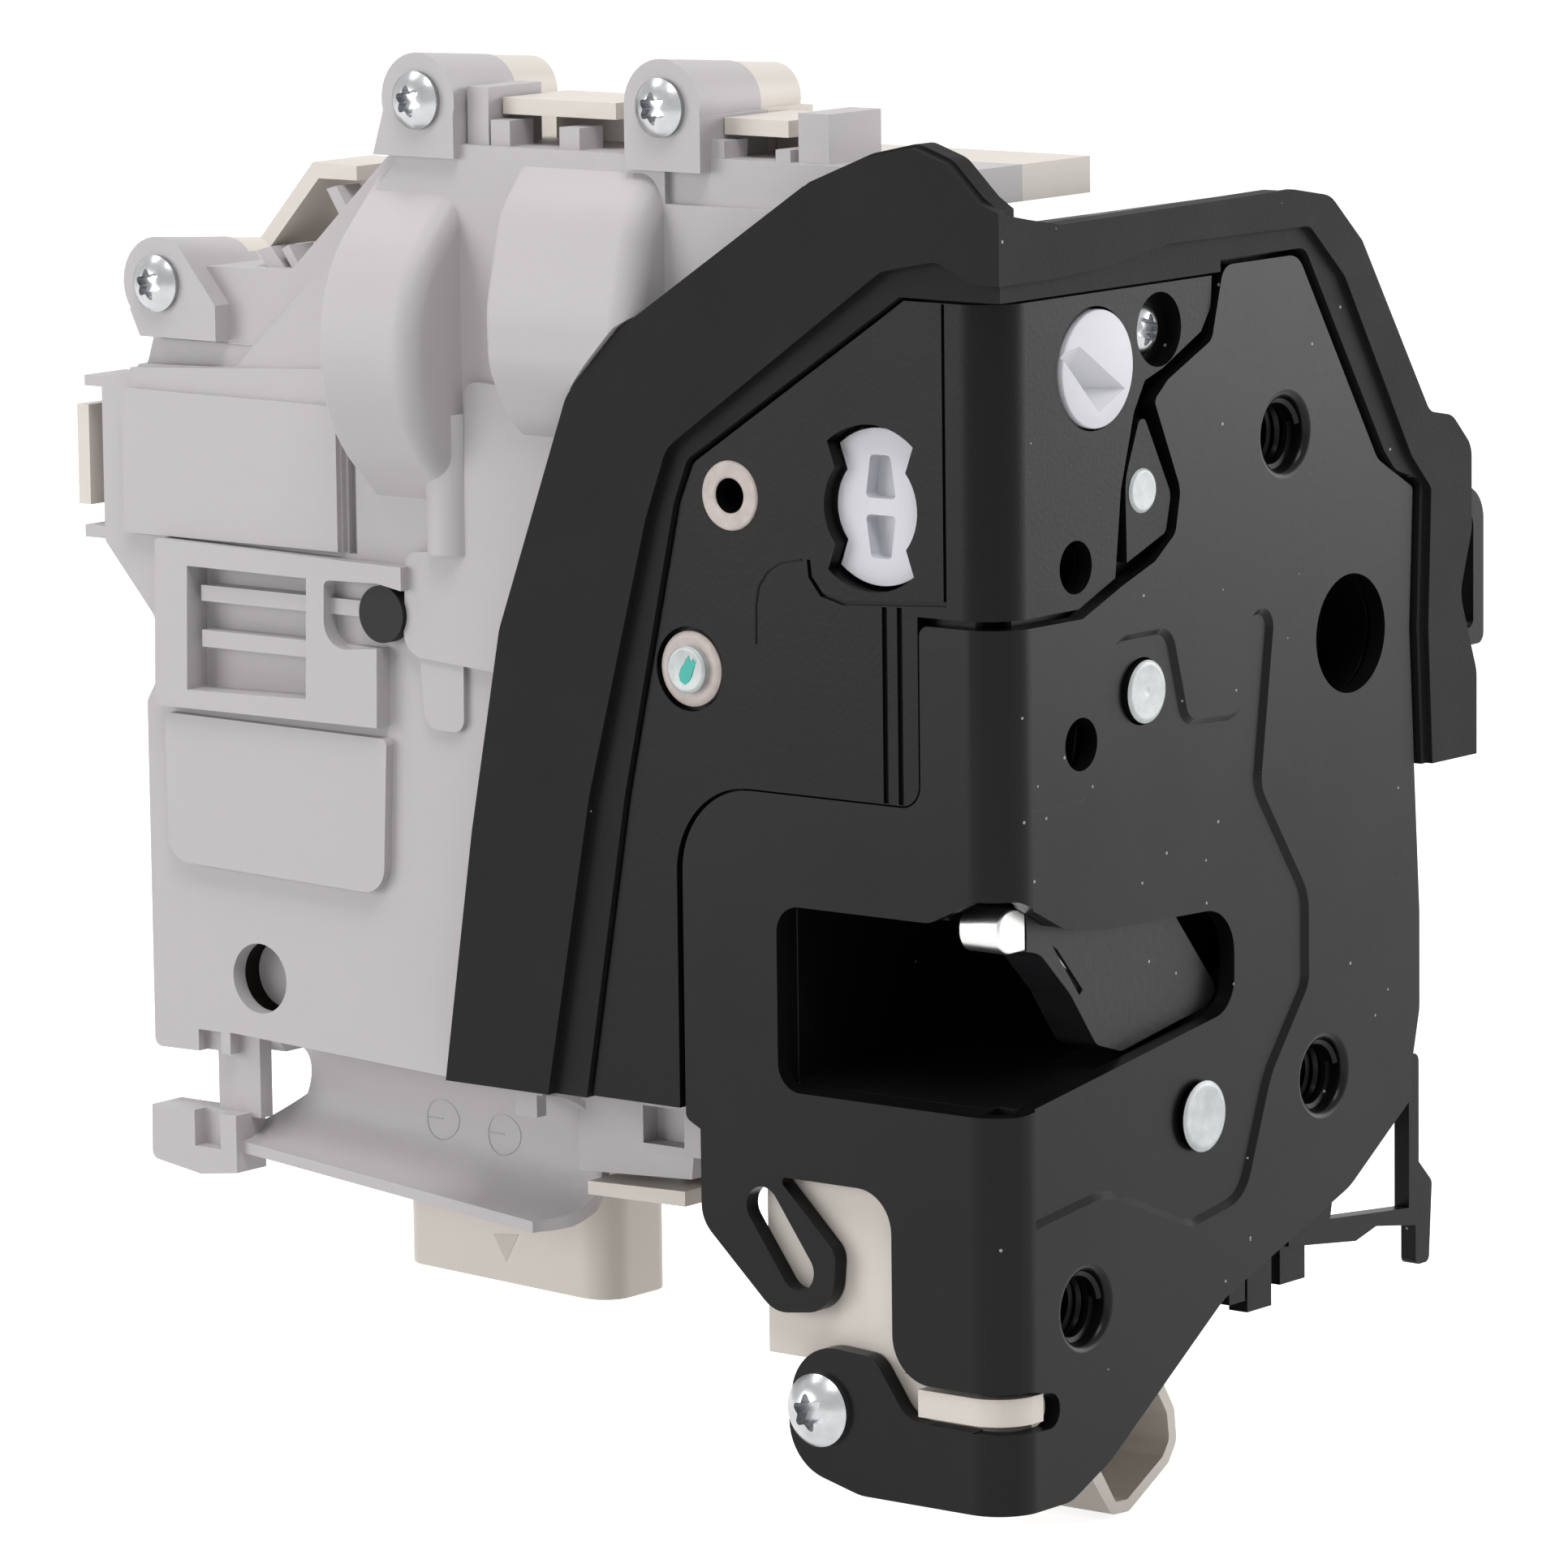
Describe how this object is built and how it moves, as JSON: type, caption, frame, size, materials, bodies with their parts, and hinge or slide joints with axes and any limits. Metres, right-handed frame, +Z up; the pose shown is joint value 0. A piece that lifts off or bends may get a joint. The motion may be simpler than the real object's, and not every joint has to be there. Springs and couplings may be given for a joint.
{
  "type": "door latch actuator",
  "caption": "Vehicle door latch with a rotary catch behind a bent steel frame, foam seal and a flat electric lock drive beside it.",
  "frame": {"origin": "centre of the upper threaded fixing on the outer face of the steel frame", "axes": "+X along the striker face away from the bend, +Y into the door, +Z up"},
  "size_m": [0.1012, 0.1364, 0.1606],
  "materials": {
    "frame_steel": "glossy black coated steel",
    "black_moulding": "semi-matte black moulding",
    "seal_foam": "matte charcoal foam rubber",
    "hook_steel": "bare hardened steel",
    "jacket_plastic": "dark grey jacket",
    "rivet_zinc": "pale zinc",
    "screw_zinc": "bright zinc",
    "white_plastic": "white moulding",
    "cream_plastic": "ivory moulding",
    "lever_steel": "zinc coated pressing",
    "grey_plastic": "light warm grey moulding",
    "contact_brass": "tinned brass",
    "motor_steel": "plated can",
    "spring_steel": "spring wire",
    "bumper_rubber": "soft black rubber"
  },
  "bodies": {
    "latch": {"latch_frame": "frame_steel", "housing_skin": "black_moulding", "latch_housing": "black_moulding", "striker_channel": "black_moulding", "seal": "seal_foam", "catch_rivet": "rivet_zinc", "pawl_rivet": "rivet_zinc", "pad_rivet": "rivet_zinc", "face_screw": "screw_zinc", "lever_rivet": "rivet_zinc", "guide_bush": "cream_plastic", "actuator_housing": "grey_plastic", "rear_cover": "cream_plastic", "connector_shroud": "cream_plastic", "connector_pins": "contact_brass", "housing_screws": "screw_zinc", "arm_screw": "screw_zinc", "lock_motor": "motor_steel", "wheel_pin": "hook_steel", "lever_pin": "hook_steel", "contact_plate": "contact_brass", "microswitches": "jacket_plastic", "catch_spring": "spring_steel", "pawl_spring": "spring_steel", "catch_bumper": "bumper_rubber", "cable_grommet": "bumper_rubber"},
    "catch": {"catch_core": "hook_steel", "catch_jacket": "jacket_plastic"},
    "pawl": {"pawl": "hook_steel"},
    "child_lock": {"child_lock_disc": "white_plastic"},
    "key_coupler_body": {"key_coupler": "white_plastic"},
    "outer_lever": {"release_lever": "lever_steel"},
    "inside_lever": {"inner_lever": "lever_steel"},
    "gear": {"drive_gear": "white_plastic"},
    "pinion": {"motor_pinion": "contact_brass"},
    "wheel": {"cam_wheel": "white_plastic"},
    "link": {"lock_lever": "white_plastic"}
  },
  "joints": [
    {"name": "catch_turn", "type": "hinge", "parent": "latch", "child": "catch", "pos_m": [-0.0257, 0.0057, -0.025], "axis": [0, -1, 0], "range_deg": [0, 46], "stiffness_Nm_per_rad": 0.06, "springref_deg": -22.92},
    {"name": "pawl_turn", "type": "hinge", "parent": "latch", "child": "pawl", "pos_m": [-0.016, 0.0057, -0.0725], "axis": [0, -1, 0], "range_deg": [-10, 13], "stiffness_Nm_per_rad": 0.05},
    {"name": "child_lock_turn", "type": "hinge", "parent": "latch", "child": "child_lock", "pos_m": [-0.034, 0.005, 0.0103], "axis": [0, -1, 0], "range_deg": [0, 90]},
    {"name": "key_coupler_turn", "type": "hinge", "parent": "latch", "child": "key_coupler_body", "pos_m": [-0.045, 0.0173, -0.0039], "axis": [1, 0, 0], "range_deg": [-45, 45], "stiffness_Nm_per_rad": 0.01},
    {"name": "release_lever_turn", "type": "hinge", "parent": "latch", "child": "outer_lever", "pos_m": [-0.0438, 0.042, -0.0229], "axis": [1, 0, 0], "range_deg": [0, 25], "stiffness_Nm_per_rad": 0.03, "springref_deg": -17.19},
    {"name": "inner_lever_turn", "type": "hinge", "parent": "latch", "child": "inside_lever", "pos_m": [-0.0458, 0.0362, -0.0038], "axis": [1, 0, 0], "range_deg": [0, 20], "stiffness_Nm_per_rad": 0.03, "springref_deg": -17.19},
    {"name": "gear_turn", "type": "hinge", "parent": "latch", "child": "gear", "pos_m": [-0.0415, 0.082, 0.0075], "axis": [0, 1, 0], "range_deg": [-840, 840]},
    {"name": "pinion_turn", "type": "hinge", "parent": "latch", "child": "pinion", "pos_m": [-0.04, 0.082, 0.0203], "axis": [0, 1, 0], "range_deg": [-2520, 2520]},
    {"name": "wheel_turn", "type": "hinge", "parent": "latch", "child": "wheel", "pos_m": [-0.042, 0.098, -0.003], "axis": [1, 0, 0], "range_deg": [-35, 35]},
    {"name": "lock_lever_turn", "type": "hinge", "parent": "latch", "child": "link", "pos_m": [-0.0374, 0.098, -0.028], "axis": [1, 0, 0], "range_deg": [-11, 11]}
  ],
  "couplings": [
    {"joint": "pinion_turn", "follows": "gear_turn", "ratio": -3},
    {"joint": "wheel_turn", "follows": "gear_turn", "ratio": 0.041666},
    {"joint": "lock_lever_turn", "follows": "gear_turn", "ratio": -0.012292}
  ]
}
